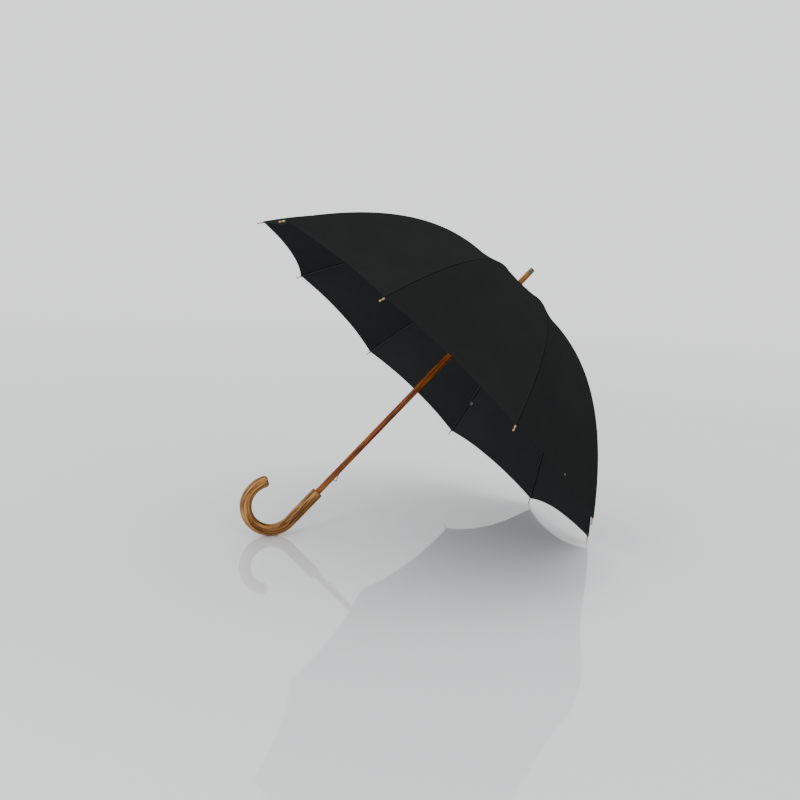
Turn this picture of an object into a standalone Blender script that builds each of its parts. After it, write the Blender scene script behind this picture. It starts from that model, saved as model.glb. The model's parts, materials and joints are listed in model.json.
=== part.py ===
"""Stick umbrella with a crook handle: open, lying on its crook and two rib tips.

Every piece is drawn in the umbrella's own frame: Z runs up the shaft to the ferrule, X points to
the side that faces the floor, and height 0 is the level of the canopy's corners. One empty then
tilts the whole umbrella onto the floor, which is the plane Z = 0 of the finished model.
"""

from math import asin, atan2, cos, hypot, pi, radians, sin

import bmesh
import bpy
from mathutils import Matrix, Vector

# Canopy and ribs
RIBS = 10
STEP = 2 * pi / RIBS
CORNER_R = 0.520
PIVOT_H = 0.2965
PIVOT_R = 0.011
PROFILE_2 = 0.40
PROFILE_3 = 0.76
RIB_RADIUS = 0.0016
RIB_NECK = 0.55
FABRIC = 0.0006
FABRIC_START_R = 0.0085
RIM_MIDDLE = 0.9144 * CORNER_R
RIM_RISE = 0.010
GORE_SAG = 0.004
CROWN_LIFT = 0.0018
GAP = 0.0003

# Linkage
JOINT_R = 0.280
LUG_DROP = 0.005
LUG_THICK = 0.0016
FLEX_R = 0.292
FOLDED_ANGLE = radians(8)
RIVET_R = 0.00065
RIVET_HOLE_R = 0.0010
PRONG = 0.0008
PRONG_GAP = 0.0004
STRETCHER_RADIUS = 0.0013
EYE_R = 0.0015
EYE_THICK = 0.0018
SLOT = 0.0026
SLOT_BOTTOM_R = 0.0091

# Rib tips
TIP_LENGTH = 0.013
TIP_RADIUS = 0.0023
TIP_BORE_R = 0.0013
TIP_SEAT = 0.004

# Shaft, ferrule and handle
SHAFT_R = 0.007
FERRULE_BASE_R = 0.0068
FERRULE_END_R = 0.0064
FERRULE_END_H = 0.363
CAP_LENGTH = 0.016
CAP_WALL = 0.0007
HANDLE_TOP_H = -0.349
HANDLE_R = 0.0132
HANDLE_BEND_H = -0.4405
CROOK_R = 0.057
CROOK_TURN = radians(210)
HANDLE_LIP = 0.0016
TENON_R = 0.0052
TENON = 0.034
SOCKET_R = 0.0055

# Crown, runner and spring catches
CROWN_R = 0.0145
RUNNER_BORE_R = 0.00735
RUNNER_R = 0.0090
RUNNER_HEAD_R = 0.0148
RUNNER_TOP = 0.0048
RUNNER_LENGTH = 0.0688
WINDOW_LENGTH = 0.020
WINDOW_FOOT = 0.0055
CATCH_THICK = 0.0022
CATCH_SLOT = 0.0030
CATCH_LENGTH = 0.042
CATCH_NOSE = 0.018
CATCH_OUT = 0.0048
CATCH_PIVOT_R = 0.0016
CATCH_SEAT_R = 0.0035
CATCH_CLEARANCE = 0.0006
MORTISE_DEPTH = 0.0136
MORTISE_FACE_R = 0.0092
STOP_PIN_R = 0.0011
STOP_PIN_HALF = 0.0088

# Closing strap
STRAP_WIDTH = 0.012
STRAP_LENGTH = 0.070
STRAP_THICK = 0.0012
STRAP_LIFT = 0.0009
STRAP_RIB = 5
STRAP_ROOT_R = 0.506
STRAP_ACROSS = -0.93

COLLECTION = "stick_umbrella"


def rib_height(r):
    """Height of a rib's centre line at distance r from the shaft's axis."""
    q = (r - PIVOT_R) / (CORNER_R - PIVOT_R)
    fall = PROFILE_2 * q**2 + PROFILE_3 * q**3 + (1 - PROFILE_2 - PROFILE_3) * q**4
    return PIVOT_H * (1 - fall)


def rib_slope(r):
    """Angle by which the rib dips below level at distance r."""
    step = 1e-5
    return atan2(rib_height(r - step) - rib_height(r + step), 2 * step)


def off_rib(r, offset):
    """The point (r, height) at a distance from the rib's centre line, outward if positive."""
    slope = rib_slope(r)
    return r + offset * sin(slope), rib_height(r) + offset * cos(slope)


def spread(start, end, count):
    return [start + (end - start) * i / (count - 1) for i in range(count)]


INNER_KNOTS = spread(0.050, FLEX_R, 6)
NECK_R = CORNER_R - 0.0031
OUTER_KNOTS = spread(FLEX_R, CORNER_R - 0.0030, 7)[1:]
JOINT = off_rib(JOINT_R, -LUG_DROP)
FLEX = off_rib(FLEX_R, RIB_RADIUS)
LINK = hypot(JOINT[0] - PIVOT_R, PIVOT_H - JOINT[1])
OPEN_ANGLE = atan2(JOINT[0] - PIVOT_R, PIVOT_H - JOINT[1])
RUNNER_H = PIVOT_H - 2 * LINK * cos(OPEN_ANGLE)
RUNNER_FOLDED_H = PIVOT_H - 2 * LINK * cos(FOLDED_ANGLE)
RUNNER_BOTTOM = RUNNER_TOP - RUNNER_LENGTH
STOP_PIN_H = RUNNER_H + RUNNER_TOP + 0.0004 + STOP_PIN_R
CATCH_REACH = CATCH_LENGTH - CATCH_PIVOT_R
TOP_CATCH_H = RUNNER_H + RUNNER_BOTTOM - CATCH_CLEARANCE - CATCH_REACH
BOTTOM_CATCH_H = RUNNER_FOLDED_H + RUNNER_BOTTOM + WINDOW_FOOT + CATCH_CLEARANCE + CATCH_REACH
TIP_SLOPE = rib_slope(CORNER_R)
TIP_END = off_rib(CORNER_R, 0)
TIP_END = (
    TIP_END[0] + (TIP_LENGTH - TIP_SEAT - TIP_RADIUS) * cos(TIP_SLOPE),
    TIP_END[1] - (TIP_LENGTH - TIP_SEAT - TIP_RADIUS) * sin(TIP_SLOPE),
)


def rib_turn(k):
    """Angle of rib k about the shaft. Ribs 4 and 5 stand on the floor, one on each side."""
    return (4.5 - k) * STEP


def resting_pose():
    """Tilt that brings the crook and the two lowest tips onto the floor, as a matrix."""
    along = TIP_END[1] - HANDLE_BEND_H
    across = TIP_END[0] * cos(STEP / 2) + CROOK_R
    drop = TIP_RADIUS - (CROOK_R + HANDLE_R)
    tilt = atan2(across, along) + asin(drop / hypot(along, across))
    lift = CROOK_R + HANDLE_R - HANDLE_BEND_H * sin(tilt) - CROOK_R * cos(tilt)
    return Matrix.Translation((0, 0, lift)) @ Matrix.Rotation(pi / 2 - tilt, 4, "Y")


def clear_scene():
    for thing in list(bpy.data.objects):
        bpy.data.objects.remove(thing, do_unlink=True)


def make_collection(name):
    group = bpy.data.collections.new(name)
    bpy.context.scene.collection.children.link(group)
    return group


def make_material(name, colour, roughness, metallic=0.0):
    material = bpy.data.materials.new(name)
    material.use_nodes = True
    shader = material.node_tree.nodes["Principled BSDF"]
    shader.inputs["Base Color"].default_value = (*colour, 1)
    shader.inputs["Roughness"].default_value = roughness
    shader.inputs["Metallic"].default_value = metallic
    material.diffuse_color = (*colour, 1)
    return material


def closed_mesh(source, name):
    """The evaluated mesh of an object, welded, facing out, in the object's own space."""
    bpy.context.view_layer.update()
    graph = bpy.context.evaluated_depsgraph_get()
    mesh = bpy.data.meshes.new_from_object(source.evaluated_get(graph))
    mesh.name = name
    work = bmesh.new()
    work.from_mesh(mesh)
    bmesh.ops.remove_doubles(work, verts=work.verts, dist=1e-6)
    bmesh.ops.recalc_face_normals(work, faces=work.faces)
    work.to_mesh(mesh)
    work.free()
    return mesh


def scratch_object(name, data):
    thing = bpy.data.objects.new(name, data)
    cutters.objects.link(thing)
    thing.hide_render = True
    thing.display_type = "WIRE"
    return thing


def box_mesh(name, size, centre):
    work = bmesh.new()
    bmesh.ops.create_cube(work, size=1)
    bmesh.ops.scale(work, vec=size, verts=work.verts)
    bmesh.ops.translate(work, vec=centre, verts=work.verts)
    mesh = bpy.data.meshes.new(name)
    work.to_mesh(mesh)
    work.free()
    return mesh


def drum_mesh(name, radius, length, centre=(0, 0, 0), axis="Y", sides=10):
    """A cylinder centred on a point, its axis along Y or Z."""
    turn = Matrix.Rotation(pi / 2, 4, "X") if axis == "Y" else Matrix.Identity(4)
    work = bmesh.new()
    bmesh.ops.create_cone(
        work,
        cap_ends=True,
        segments=sides,
        radius1=radius,
        radius2=radius,
        depth=length,
        matrix=Matrix.Translation(centre) @ turn,
    )
    mesh = bpy.data.meshes.new(name)
    work.to_mesh(mesh)
    work.free()
    return mesh


def tube_mesh(name, points, radius, shares=None, sides=8):
    """A round rod along the points, thinner where its share of the radius is below 1."""
    curve = bpy.data.curves.new(name, "CURVE")
    curve.dimensions = "3D"
    curve.bevel_depth = radius
    curve.bevel_resolution = sides // 2 - 2
    curve.use_fill_caps = True
    line = curve.splines.new("POLY")
    line.points.add(len(points) - 1)
    for index, point in enumerate(points):
        line.points[index].co = (*point, 1)
        line.points[index].radius = shares[index] if shares else 1
    guide = scratch_object(name + "_guide", curve)
    mesh = closed_mesh(guide, name)
    bpy.data.objects.remove(guide)
    return mesh


def turned_mesh(name, profile, steps=24, closed=False):
    """A solid of revolution about Z from (radius, height) points."""
    outline = bpy.data.meshes.new(name + "_outline")
    links = [(i, i + 1) for i in range(len(profile) - 1)]
    if closed:
        links.append((len(profile) - 1, 0))
    outline.from_pydata([(r, 0, z) for r, z in profile], links, [])
    guide = scratch_object(name + "_guide", outline)
    screw = guide.modifiers.new("turn", "SCREW")
    screw.steps = steps
    screw.render_steps = steps
    screw.use_merge_vertices = True
    screw.merge_threshold = 0.000001
    mesh = closed_mesh(guide, name)
    bpy.data.objects.remove(guide)
    return mesh


def combined(name, mesh, others, operation):
    """The mesh joined with, or cut by, each of the others."""
    body = scratch_object(name + "_body", mesh)
    tools = [scratch_object(f"{name}_tool_{i}", other) for i, other in enumerate(others)]
    for tool in tools:
        step = body.modifiers.new(operation.lower(), "BOOLEAN")
        step.operation = operation
        step.solver = "EXACT"
        step.object = tool
    result = closed_mesh(body, name)
    for thing in [body, *tools]:
        bpy.data.objects.remove(thing)
    return result


def place(name, mesh, material, location=(0, 0, 0), rotation=(0, 0, 0)):
    """A finished part, standing in the umbrella's frame."""
    thing = bpy.data.objects.new(name, mesh)
    parts.objects.link(thing)
    thing.parent = umbrella
    thing.location = location
    thing.rotation_euler = rotation
    if not mesh.materials:
        mesh.materials.append(material)
        mesh.shade_smooth()
        mesh.set_sharp_from_angle(angle=radians(35))
    return thing


def around(k, point):
    """The umbrella-frame position of a (radius, height) point in the plane of rib k."""
    return (point[0] * cos(rib_turn(k)), point[0] * sin(rib_turn(k)), point[1])


def relative(points, origin):
    """(radius, height) points as 3D points about an origin in the rib's plane."""
    return [(r - origin[0], 0, h - origin[1]) for r, h in points]


def make_inner_rib_mesh():
    """From the crown's eye to just past the stretcher's lug."""
    crown = (PIVOT_R, PIVOT_H)
    distances = [PIVOT_R, PIVOT_R + 0.012, PIVOT_R + 0.018, *INNER_KNOTS]
    line = [(r, rib_height(r)) for r in distances]
    shares = [RIB_NECK, RIB_NECK] + [1] * (len(line) - 2)
    rod = tube_mesh("rib_inner", relative(line, crown), RIB_RADIUS, shares)
    lug = Vector((JOINT[0] - PIVOT_R, 0, JOINT[1] - PIVOT_H))
    web = box_mesh("rib_web", (0.0056, LUG_THICK, LUG_DROP), (0, 0, LUG_DROP / 2))
    web.transform(Matrix.Translation(lug) @ Matrix.Rotation(rib_slope(JOINT_R), 4, "Y"))
    boss = drum_mesh("rib_boss", 0.0028, LUG_THICK, lug)
    eye = drum_mesh("rib_eye", EYE_R, EYE_THICK)
    joined = combined("rib_inner", rod, [eye, web, boss], "UNION")
    hole = drum_mesh("rib_hole", RIVET_HOLE_R, 4 * LUG_THICK, lug, sides=8)
    return combined("rib_inner", joined, [hole], "DIFFERENCE")


def make_outer_rib_mesh():
    """From the flexing point to inside the tip, drawn about the flexing point."""
    knots = [FLEX_R + GAP, *OUTER_KNOTS[:-1], NECK_R]
    line = [(r, rib_height(r)) for r in knots]
    last = off_rib(CORNER_R, 0)
    shares = [1] * len(line)
    neck = (NECK_R + 0.0001, rib_height(NECK_R + 0.0001))
    line += [neck, last]
    shares += [RIB_NECK, RIB_NECK]
    return tube_mesh("rib_outer", relative(line, FLEX), RIB_RADIUS, shares)


def make_tip_mesh():
    """A turned cap with a blind bore, its rounded end at +X."""
    base = -TIP_SEAT
    end = TIP_LENGTH - TIP_SEAT
    dome = [
        (TIP_RADIUS * sin(a), end - TIP_RADIUS + TIP_RADIUS * cos(a))
        for a in spread(0, pi / 2, 4)
    ]
    wall = [
        (TIP_RADIUS * 0.78, end - 0.0040),
        (TIP_RADIUS * 0.78, base + 0.0006),
        (TIP_RADIUS * 0.72, base),
        (TIP_BORE_R, base),
        (TIP_BORE_R, 0.0012),
        (0, 0.0012),
    ]
    mesh = turned_mesh("rib_tip", dome + wall, steps=10)
    mesh.transform(Matrix.Rotation(pi / 2, 4, "Y"))
    return mesh


def make_stretcher_mesh():
    """Fork and rivet at the origin, runner eye at +X."""
    line = [(0.0085, 0, 0), (LINK - 0.016, 0, 0), (LINK - 0.011, 0, 0), (LINK, 0, 0)]
    rod = tube_mesh("stretcher", line, STRETCHER_RADIUS, [1, 1, 0.62, 0.62])
    reach = LUG_THICK / 2 + PRONG_GAP
    pieces = [drum_mesh("eye", EYE_R, EYE_THICK, (LINK, 0, 0))]
    for side in (-1, 1):
        y = side * (reach + PRONG / 2)
        pieces.append(box_mesh("prong", (0.0100, PRONG, 0.0024), (0.0050, y, 0)))
        pieces.append(drum_mesh("prong_end", 0.0018, PRONG, (0, y, 0)))
    width = 2 * (reach + PRONG)
    pieces.append(box_mesh("fork_root", (0.0030, width * 0.999, 0.00238), (0.0090, 0, 0)))
    pieces.append(drum_mesh("rivet", RIVET_R, width * 1.08, sides=8))
    return combined("stretcher", rod, pieces, "UNION")


def fabric_offset(r):
    """How far the fabric's inner face lies off the rib's centre line, more over the crown."""
    lift = max(0.0, 1 - max(0.0, r - CROWN_R) / 0.030)
    return RIB_RADIUS + GAP + CROWN_LIFT * lift * lift


def gore_point(r, across):
    """A point of the fabric's inner face; across runs from -1 at one rib to 1 at the next."""
    distance, height = off_rib(r, fabric_offset(r))
    q = r / CORNER_R
    bow = 1 - across * across
    middle = distance * cos(STEP / 2)
    scallop = (CORNER_R * cos(STEP / 2) - RIM_MIDDLE) * q**3
    hollow = GORE_SAG * sin(pi * q)
    middle -= bow * (scallop + hollow * sin(rib_slope(r)))
    height += bow * (RIM_RISE * q**3 - hollow * cos(rib_slope(r)))
    side = across * distance * sin(STEP / 2)
    half = STEP / 2
    x = middle * cos(half) - side * sin(half)
    y = middle * sin(half) + side * cos(half)
    return (x - PIVOT_R, y, height - PIVOT_H)


def make_gore_mesh():
    """One panel of cloth, from its own rib at the XZ plane round to the next rib."""
    rows = [FABRIC_START_R, CROWN_R, PIVOT_R + 0.018, *INNER_KNOTS, *OUTER_KNOTS]
    columns = 5
    points = []
    for r in rows:
        edge = 1 - GAP / (2 * r * sin(STEP / 2))
        points += [gore_point(r, a) for a in spread(-edge, edge, columns)]
    faces = []
    for row in range(len(rows) - 1):
        for column in range(columns - 1):
            first = row * columns + column
            faces.append((first, first + 1, first + columns + 1, first + columns))
    surface = bpy.data.meshes.new("gore_surface")
    surface.from_pydata(points, [], faces)
    guide = scratch_object("gore_guide", surface)
    solid = guide.modifiers.new("cloth", "SOLIDIFY")
    solid.thickness = FABRIC
    solid.offset = -1
    mesh = closed_mesh(guide, "gore")
    bpy.data.objects.remove(guide)
    return mesh


def slot_cutters(outer_r, low, high):
    """Radial slots at each rib, from the hub's core out past its edge."""
    length = outer_r + 0.004 - SLOT_BOTTOM_R
    made = []
    for k in range(RIBS):
        cutter = box_mesh(
            "slot",
            (length, SLOT, high - low),
            (SLOT_BOTTOM_R + length / 2, 0, (low + high) / 2),
        )
        cutter.transform(Matrix.Rotation(rib_turn(k), 4, "Z"))
        made.append(cutter)
    return made


def make_crown():
    """Notched hub fixed near the shaft's top; its slots open outward and down."""
    bore = SHAFT_R + GAP
    outline = [
        (bore, 0.0029),
        (CROWN_R - 0.0010, 0.0029),
        (CROWN_R, 0.0023),
        (CROWN_R, -0.0050),
        (CROWN_R - 0.0012, -0.0060),
        (bore + 0.0012, -0.0075),
        (bore, -0.0075),
    ]
    hub = turned_mesh("crown", outline, steps=30, closed=True)
    mesh = combined("crown", hub, slot_cutters(CROWN_R, -0.012, 0.0020), "DIFFERENCE")
    place("crown", mesh, plastic, location=(0, 0, PIVOT_H))


def make_runner():
    """Sliding sleeve with a notched head; its slots open outward and up."""
    foot = RUNNER_BOTTOM
    outline = [
        (RUNNER_BORE_R, RUNNER_TOP),
        (RUNNER_HEAD_R - 0.0008, RUNNER_TOP),
        (RUNNER_HEAD_R, RUNNER_TOP - 0.0008),
        (RUNNER_HEAD_R, -0.0036),
        (RUNNER_HEAD_R - 0.0012, -0.0048),
        (RUNNER_R + 0.0010, -0.0072),
        (RUNNER_R, -0.0100),
        (RUNNER_R, foot + 0.0060),
        (RUNNER_R + 0.0014, foot + 0.0040),
        (RUNNER_R + 0.0014, foot + 0.0008),
        (RUNNER_R + 0.0006, foot),
        (RUNNER_BORE_R, foot),
    ]
    sleeve = turned_mesh("runner", outline, steps=30, closed=True)
    window_centre = foot + WINDOW_FOOT + WINDOW_LENGTH / 2
    window = box_mesh(
        "window", (0.012, CATCH_SLOT + 0.0008, WINDOW_LENGTH), (0.010, 0, window_centre)
    )
    cuts = [*slot_cutters(RUNNER_HEAD_R, -0.0024, 0.012), window]
    mesh = combined("runner", sleeve, cuts, "DIFFERENCE")
    place("runner", mesh, plastic, location=(0, 0, RUNNER_H))


def catch_mortise(pivot_h, way):
    """Slot in the shaft for a catch whose nose is on the way (+1 up, -1 down) side of its pivot."""
    length = CATCH_LENGTH + 0.006
    centre = pivot_h + way * (CATCH_LENGTH / 2)
    middle = (MORTISE_FACE_R - MORTISE_DEPTH / 2, 0, centre)
    return box_mesh("mortise", (MORTISE_DEPTH, CATCH_SLOT, length), middle)


def make_catch_mesh(name, way):
    """Flat spring catch about its pivot: a long ramp out to a steep end on the way side."""
    back = 0.0012
    surface = SHAFT_R - CATCH_SEAT_R
    outline = [
        (-back, 0),
        (-back, CATCH_REACH),
        (surface + CATCH_OUT - back, CATCH_REACH),
        (surface + CATCH_OUT, CATCH_REACH - CATCH_PIVOT_R),
        (surface, CATCH_REACH - CATCH_NOSE),
        (back, CATCH_REACH - CATCH_NOSE - 0.004),
        (back, 0),
    ]
    curve = bpy.data.curves.new(name, "CURVE")
    curve.dimensions = "2D"
    curve.fill_mode = "BOTH"
    curve.extrude = CATCH_THICK / 2
    line = curve.splines.new("POLY")
    line.points.add(len(outline) - 1)
    line.use_cyclic_u = True
    for index, (x, y) in enumerate(outline):
        line.points[index].co = (x, y, 0, 1)
    guide = scratch_object(name + "_guide", curve)
    plate = closed_mesh(guide, name)
    bpy.data.objects.remove(guide)
    plate.transform(Matrix.Rotation(pi / 2, 4, "X"))
    if way < 0:
        plate.transform(Matrix.Scale(-1, 4, (0, 0, 1)))
        plate.flip_normals()
    eye = drum_mesh("catch_eye", CATCH_PIVOT_R, CATCH_THICK * 0.999)
    return combined(name, plate, [eye], "UNION")


def make_catches():
    """The upper catch holds the runner up, and the lower one holds it down."""
    places = (("top_catch", TOP_CATCH_H, 1), ("bottom_catch", BOTTOM_CATCH_H, -1))
    for name, height, way in places:
        mesh = make_catch_mesh(name, way)
        place(name, mesh, steel, location=(CATCH_SEAT_R, 0, height))


def make_shaft():
    """Turned wooden shaft with its tenon, tapered ferrule end and cuts."""
    cap_h = FERRULE_END_H - CAP_LENGTH
    outline = [
        (0, FERRULE_END_H - CAP_WALL - 0.0005),
        (FERRULE_END_R - CAP_WALL - GAP, FERRULE_END_H - CAP_WALL - 0.0005),
        (FERRULE_END_R - CAP_WALL - GAP, cap_h - GAP),
        (FERRULE_END_R + 0.0001, cap_h - GAP),
        (FERRULE_BASE_R, PIVOT_H + 0.0080),
        (SHAFT_R, PIVOT_H + 0.0055),
        (SHAFT_R, HANDLE_TOP_H + GAP),
        (TENON_R, HANDLE_TOP_H + GAP),
        (TENON_R, HANDLE_TOP_H - TENON + 0.001),
        (TENON_R - 0.001, HANDLE_TOP_H - TENON),
        (0, HANDLE_TOP_H - TENON),
    ]
    rod = turned_mesh("shaft", outline, steps=28)
    hole_r = STOP_PIN_R + GAP
    cuts = [
        catch_mortise(TOP_CATCH_H, 1),
        catch_mortise(BOTTOM_CATCH_H, -1),
        drum_mesh("pin_hole", hole_r, 0.03, (0, 0, STOP_PIN_H), sides=12),
    ]
    place("shaft", combined("shaft", rod, cuts, "DIFFERENCE"), shaft_wood)


def make_stop_pin():
    mesh = drum_mesh("stop_pin", STOP_PIN_R, 2 * STOP_PIN_HALF, sides=12)
    place("stop_pin", mesh, steel, location=(0, 0, STOP_PIN_H))


def make_ferrule_cap():
    """Metal cup on the very end, with a flat face."""
    base = -CAP_LENGTH
    outline = [
        (0, 0),
        (FERRULE_END_R - 0.0006, 0),
        (FERRULE_END_R - 0.0002, -0.0004),
        (FERRULE_END_R, base + 0.0012),
        (FERRULE_END_R + 0.0004, base + 0.0006),
        (FERRULE_END_R + 0.0004, base),
        (FERRULE_END_R - CAP_WALL, base),
        (FERRULE_END_R - CAP_WALL, -CAP_WALL),
        (0, -CAP_WALL),
    ]
    mesh = turned_mesh("ferrule_cap", outline, steps=24)
    place("ferrule_cap", mesh, dark_metal, location=(0, 0, FERRULE_END_H))


def make_rosette():
    """Small collar that covers the canopy's centre hole round the ferrule."""
    base = PIVOT_H + fabric_offset(0) + FABRIC + GAP
    inner = FERRULE_BASE_R + 0.0012
    outline = [
        (inner, 0.0022),
        (inner + 0.0015, 0.0022),
        (0.0135, 0.0009),
        (0.0150, 0.0003),
        (0.0150, 0),
        (inner, 0),
    ]
    mesh = turned_mesh("rosette", outline, steps=24, closed=True)
    place("rosette", mesh, cloth, location=(0, 0, base))


def crook_line():
    """Centre line of the handle, in (x, height): a short lip, a straight grip, then the bend."""
    straight = [(0, h) for h in spread(HANDLE_TOP_H, HANDLE_BEND_H, 4)]
    straight.insert(1, (0, HANDLE_TOP_H - HANDLE_LIP))
    bend = [
        (-CROOK_R + CROOK_R * cos(a), HANDLE_BEND_H - CROOK_R * sin(a))
        for a in spread(0, CROOK_TURN, 21)[1:]
    ]
    return straight + bend


def make_handle():
    """Bent wooden crook with a socket for the shaft's tenon and a rounded nose."""
    line = crook_line()
    shares = [0.92] + [1.0] * (len(line) - 1)
    end = line[-1]
    for distance, share in ((0.0035, 0.97), (0.0062, 0.85), (0.0080, 0.62)):
        line.append((end[0] - sin(CROOK_TURN) * distance, end[1] - cos(CROOK_TURN) * distance))
        shares.append(share)
    rod = tube_mesh("crook_handle", [(x, 0, h) for x, h in line], HANDLE_R, shares, 16)
    depth = TENON + 0.001
    socket = drum_mesh(
        "socket", SOCKET_R, 2 * depth, (0, 0, HANDLE_TOP_H), axis="Z", sides=24
    )
    mesh = combined("crook_handle", rod, [socket], "DIFFERENCE")
    place("crook_handle", mesh, handle_wood)


def strap_point(up, side):
    """A point of the strap's inner face, up and across from its root, in its rib's frame."""
    r = STRAP_ROOT_R - up * cos(rib_slope(STRAP_ROOT_R))
    half_width = r * sin(STEP / 2)
    across = STRAP_ACROSS + side / half_width
    step = 0.002
    here = Vector(gore_point(r, across))
    along = Vector(gore_point(r - step, across)) - here
    sideways = Vector(gore_point(r, across + step / half_width)) - here
    out = sideways.cross(along).normalized()
    if out.z < 0:
        out = -out
    return here + out * (FABRIC + STRAP_LIFT)


def make_strap():
    """Cloth tab with a rounded end, sewn on near the rim and lying on the canopy."""
    half = STRAP_WIDTH / 2
    root = strap_point(0, 0)
    round_start = STRAP_LENGTH - half
    rows = [(up, half) for up in spread(0, round_start, 7)]
    rows += [
        (round_start + half * sin(a), half * cos(a)) for a in spread(0, radians(75), 5)[1:]
    ]
    columns = 3
    points = [
        strap_point(up, side) - root
        for up, width in rows
        for side in spread(-width, width, columns)
    ]
    faces = []
    for row in range(len(rows) - 1):
        for column in range(columns - 1):
            first = row * columns + column
            faces.append((first, first + 1, first + columns + 1, first + columns))
    surface = bpy.data.meshes.new("strap_surface")
    surface.from_pydata([tuple(p) for p in points], [], faces)
    guide = scratch_object("strap_guide", surface)
    solid = guide.modifiers.new("cloth", "SOLIDIFY")
    solid.thickness = STRAP_THICK
    solid.offset = 1
    mesh = closed_mesh(guide, "closing_strap")
    bpy.data.objects.remove(guide)
    turn = rib_turn(STRAP_RIB)
    spot = Matrix.Rotation(turn, 4, "Z") @ (root + Vector((PIVOT_R, 0, PIVOT_H)))
    place("closing_strap", mesh, cloth, spot, (0, 0, turn))


def make_linkage():
    """Ribs, tips, stretchers and cloth panels, one set for each rib."""
    inner_mesh = make_inner_rib_mesh()
    outer_mesh = make_outer_rib_mesh()
    tip_mesh = make_tip_mesh()
    stretcher_mesh = make_stretcher_mesh()
    gore_mesh = make_gore_mesh()
    lean = atan2(RUNNER_H - JOINT[1], PIVOT_R - JOINT[0])
    for k in range(RIBS):
        turn = rib_turn(k)
        pivot = around(k, (PIVOT_R, PIVOT_H))
        place(f"rib_inner_{k}", inner_mesh, rib_steel, pivot, (0, 0, turn))
        place(f"rib_outer_{k}", outer_mesh, rib_steel, around(k, FLEX), (0, 0, turn))
        corner = around(k, off_rib(CORNER_R, 0))
        place(f"rib_tip_{k}", tip_mesh, brass, corner, (0, TIP_SLOPE, turn))
        place(f"stretcher_{k}", stretcher_mesh, rib_steel, around(k, JOINT), (0, -lean, turn))
        place(f"gore_{k}", gore_mesh, cloth, pivot, (0, 0, turn))


def centre_over_origin():
    """Move the whole umbrella along X until its bounding box is centred on the origin."""
    bpy.context.view_layer.update()
    sides = [
        (thing.matrix_world @ vertex.co).x
        for thing in parts.objects
        if thing.type == "MESH"
        for vertex in thing.data.vertices
    ]
    umbrella.location.x -= (min(sides) + max(sides)) / 2
    bpy.context.view_layer.update()


clear_scene()
parts = make_collection(COLLECTION)
cutters = make_collection("cutters")
umbrella = bpy.data.objects.new("umbrella_pose", None)
parts.objects.link(umbrella)
umbrella.matrix_world = resting_pose()

cloth = make_material("black_cloth", (0.018, 0.018, 0.019), 0.75)
rib_steel = make_material("rib_steel", (0.06, 0.06, 0.065), 0.35, 0.9)
steel = make_material("spring_steel", (0.55, 0.55, 0.56), 0.3, 1.0)
brass = make_material("brass", (0.60, 0.46, 0.24), 0.3, 1.0)
dark_metal = make_material("dark_brass", (0.22, 0.17, 0.11), 0.3, 1.0)
plastic = make_material("black_plastic", (0.02, 0.02, 0.02), 0.4)
shaft_wood = make_material("shaft_wood", (0.30, 0.085, 0.025), 0.2)
handle_wood = make_material("handle_wood", (0.36, 0.14, 0.035), 0.22)

make_linkage()
make_crown()
make_runner()
make_shaft()
make_stop_pin()
make_catches()
make_ferrule_cap()
make_rosette()
make_handle()
make_strap()
centre_over_origin()
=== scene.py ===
"""Looks for the stick umbrella: cloth, wood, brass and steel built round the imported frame."""

import json
from math import atan2, cos, exp, hypot, pi, radians, sin

import bmesh
import bpy
from mathutils import Matrix, Vector, noise


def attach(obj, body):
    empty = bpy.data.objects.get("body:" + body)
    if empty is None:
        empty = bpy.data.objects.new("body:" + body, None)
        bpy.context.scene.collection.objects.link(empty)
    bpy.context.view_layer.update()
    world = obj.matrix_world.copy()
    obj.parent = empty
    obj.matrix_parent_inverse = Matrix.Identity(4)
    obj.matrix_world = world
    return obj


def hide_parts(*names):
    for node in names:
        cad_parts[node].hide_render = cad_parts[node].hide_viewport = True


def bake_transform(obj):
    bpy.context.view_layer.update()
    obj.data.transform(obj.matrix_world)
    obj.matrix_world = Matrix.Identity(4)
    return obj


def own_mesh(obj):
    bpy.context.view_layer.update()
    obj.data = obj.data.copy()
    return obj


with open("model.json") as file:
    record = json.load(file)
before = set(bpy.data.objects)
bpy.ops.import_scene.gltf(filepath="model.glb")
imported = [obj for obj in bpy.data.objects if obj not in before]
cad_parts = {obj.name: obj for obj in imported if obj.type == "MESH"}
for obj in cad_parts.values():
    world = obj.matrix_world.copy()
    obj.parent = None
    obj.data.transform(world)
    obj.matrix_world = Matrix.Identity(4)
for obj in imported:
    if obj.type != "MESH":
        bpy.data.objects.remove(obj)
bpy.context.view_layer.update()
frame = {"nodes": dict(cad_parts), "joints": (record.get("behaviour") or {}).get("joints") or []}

# The umbrella's own measures, as in the CAD source, in metres
RIBS = 10
STEP = 2 * pi / RIBS
CORNER_R = 0.520
PIVOT_H = 0.2965
PIVOT_R = 0.011
PROFILE_2 = 0.40
PROFILE_3 = 0.76
RIB_RADIUS = 0.0016
CLOTH = 0.0006
CLOTH_START_R = 0.0085
RIM_MIDDLE = 0.9144 * CORNER_R
RIM_RISE = 0.010
GORE_SAG = 0.004
CROWN_LIFT = 0.0018
GAP = 0.0003
CROWN_R = 0.0145
FLEX_R = 0.292
JOINT_R = 0.280
LUG_DROP = 0.005
SHAFT_R = 0.007
FERRULE_BASE_R = 0.0068
TIP_LENGTH = 0.013
TIP_SEAT = 0.004
TIP_RADIUS = 0.0023
HANDLE_TOP_H = -0.349
HANDLE_R = 0.0132
HANDLE_BEND_H = -0.4405
CROOK_R = 0.057
CROOK_TURN = radians(210)
STRAP_RIB = 5
STRAP_ROOT_R = 0.506
STRAP_ACROSS = -0.93
STRAP_WIDTH = 0.012
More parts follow.
